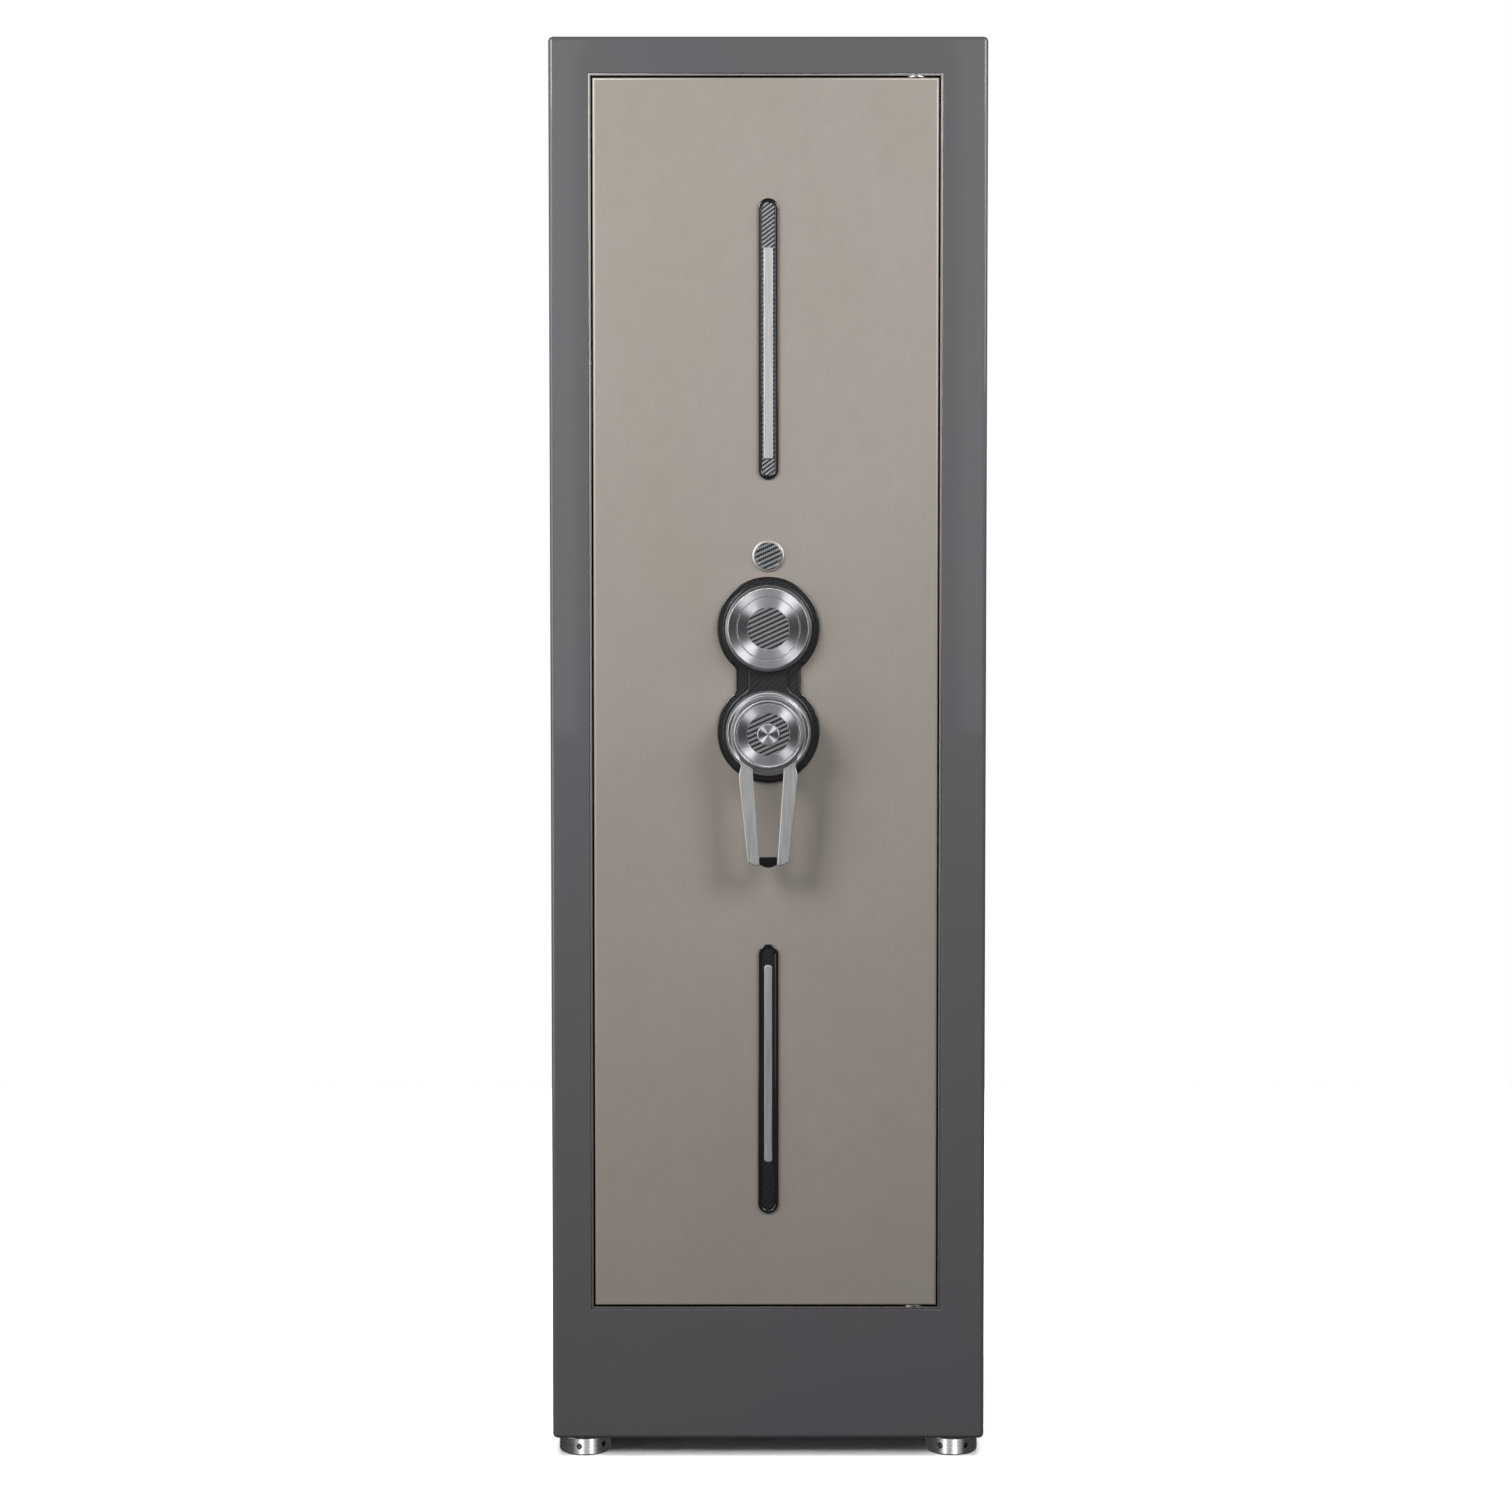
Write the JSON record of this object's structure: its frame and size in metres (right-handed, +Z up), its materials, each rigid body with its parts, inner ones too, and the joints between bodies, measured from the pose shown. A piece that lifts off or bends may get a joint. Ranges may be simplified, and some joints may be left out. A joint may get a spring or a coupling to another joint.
{
  "type": "gun safe",
  "caption": "Tall narrow steel safe for long guns, with a right-hinged door, a combination dial, a fork handle that throws the bolts, a barrel rack and levelling feet.",
  "frame": {"origin": "on the floor, under the middle of the safe's bounding box, handle included", "axes": "+Z up, +X to the right as seen from the front, the door faces -Y"},
  "size_m": [0.465, 0.44, 1.52],
  "materials": {
    "cabinet_lacquer": "glossy dark grey lacquer",
    "door_paint": "satin taupe metallic paint",
    "trim_metal": "fine light satin strip",
    "black_gloss": "gloss black",
    "carbon_weave": "clear coated carbon twill",
    "spun_metal": "spun, with circular brushing",
    "satin_metal": "satin",
    "boltwork_steel": "ground steel",
    "foot_metal": "turned, with fine circular brushing",
    "case_paint": "matt dark grey paint",
    "fire_board": "matt mineral fire board",
    "felt": "dark grey felt over board"
  },
  "bodies": {
    "cabinet": {"frame_stile_left": "cabinet_lacquer", "frame_stile_right": "cabinet_lacquer", "frame_rail_top": "cabinet_lacquer", "frame_rail_bottom": "cabinet_lacquer", "wall_left": "cabinet_lacquer", "wall_right": "cabinet_lacquer", "roof": "cabinet_lacquer", "floor": "cabinet_lacquer", "wall_back": "cabinet_lacquer", "opening_trim": "trim_metal", "hinge_pin_lower": "boltwork_steel", "hinge_pin_upper": "boltwork_steel", "shelf": "felt", "barrel_rack": "felt", "butt_rest": "felt"},
    "door": {"door_face": "door_paint", "door_core": "fire_board", "lock_plate": "carbon_weave", "lock_plate_panel": "carbon_weave", "upper_slot_bezel": "black_gloss", "upper_slot_inlay": "carbon_weave", "upper_slot_bar": "satin_metal", "lower_slot_bezel": "black_gloss", "lower_slot_inlay": "carbon_weave", "lower_slot_bar": "satin_metal", "keyhole_ring": "satin_metal", "key_cylinder": "boltwork_steel", "case_left": "case_paint", "case_right": "case_paint", "case_top": "case_paint", "case_bottom": "case_paint", "door_back_cover": "case_paint", "hinge_side_dog": "boltwork_steel", "lock_case": "case_paint"},
    "handle": {"handle_hub": "spun_metal", "handle_inlay": "carbon_weave", "handle_button": "spun_metal", "handle_leg_left": "satin_metal", "handle_leg_right": "satin_metal", "handle_crossbar": "black_gloss", "handle_spindle": "boltwork_steel"},
    "dial": {"dial_disc": "spun_metal", "dial_inlay": "carbon_weave", "dial_spindle": "boltwork_steel"},
    "side_bolts": {"side_bolt_bar": "boltwork_steel", "side_bolt_1": "satin_metal", "side_bolt_2": "satin_metal", "side_bolt_3": "satin_metal", "side_rack": "boltwork_steel", "lock_tab": "boltwork_steel"},
    "top_bolt": {"top_bolt_rod": "satin_metal"},
    "bottom_bolt": {"bottom_bolt_rod": "satin_metal"},
    "lock_bolt": {"lock_bolt": "satin_metal"},
    "key_cover": {"key_cover": "carbon_weave"},
    "key_plug": {"key_plug": "boltwork_steel"},
    "foot_front_left": {"foot_front_left": "foot_metal"},
    "foot_front_right": {"foot_front_right": "foot_metal"},
    "foot_rear_left": {"foot_rear_left": "foot_metal"},
    "foot_rear_right": {"foot_rear_right": "foot_metal"}
  },
  "joints": [
    {"name": "door_swing", "type": "hinge", "parent": "cabinet", "child": "door", "pos_m": [0.1566, -0.1585, 0.8], "axis": [0, 0, 1], "range_deg": [0, 110]},
    {"name": "handle_turn", "type": "hinge", "parent": "door", "child": "handle", "pos_m": [0, -0.2, 0.785], "axis": [0, 1, 0], "range_deg": [0, 90]},
    {"name": "side_bolts_throw", "type": "slide", "parent": "door", "child": "side_bolts", "axis": [-1, 0, 0], "range_m": [0, 0.022]},
    {"name": "top_bolt_throw", "type": "slide", "parent": "door", "child": "top_bolt", "axis": [0, 0, 1], "range_m": [0, 0.022]},
    {"name": "bottom_bolt_throw", "type": "slide", "parent": "door", "child": "bottom_bolt", "axis": [0, 0, -1], "range_m": [0, 0.022]},
    {"name": "dial_spin", "type": "hinge", "parent": "door", "child": "dial", "pos_m": [0, -0.18, 0.8953], "axis": [0, -1, 0], "continuous": true},
    {"name": "lock_bolt_throw", "type": "slide", "parent": "door", "child": "lock_bolt", "axis": [0, 0, -1], "range_m": [0, 0.012]},
    {"name": "key_cover_swing", "type": "hinge", "parent": "door", "child": "key_cover", "pos_m": [0, -0.172, 0.983], "axis": [0, -1, 0], "range_deg": [0, 120]},
    {"name": "key_plug_turn", "type": "hinge", "parent": "door", "child": "key_plug", "pos_m": [0, -0.15, 0.972], "axis": [0, -1, 0], "range_deg": [0, 90]},
    {"name": "foot_front_left_turn", "type": "hinge", "parent": "cabinet", "child": "foot_front_left", "pos_m": [-0.1995, -0.137, 0.01], "axis": [0, 0, 1], "continuous": true},
    {"name": "foot_front_right_turn", "type": "hinge", "parent": "cabinet", "child": "foot_front_right", "pos_m": [0.1995, -0.137, 0.01], "axis": [0, 0, 1], "continuous": true},
    {"name": "foot_rear_left_turn", "type": "hinge", "parent": "cabinet", "child": "foot_rear_left", "pos_m": [-0.1995, 0.187, 0.01], "axis": [0, 0, 1], "continuous": true},
    {"name": "foot_rear_right_turn", "type": "hinge", "parent": "cabinet", "child": "foot_rear_right", "pos_m": [0.1995, 0.187, 0.01], "axis": [0, 0, 1], "continuous": true}
  ],
  "couplings": [
    {"joint": "side_bolts_throw", "follows": "handle_turn", "m_per_rad": 0.014},
    {"joint": "top_bolt_throw", "follows": "handle_turn", "m_per_rad": 0.014},
    {"joint": "bottom_bolt_throw", "follows": "handle_turn", "m_per_rad": 0.014}
  ]
}
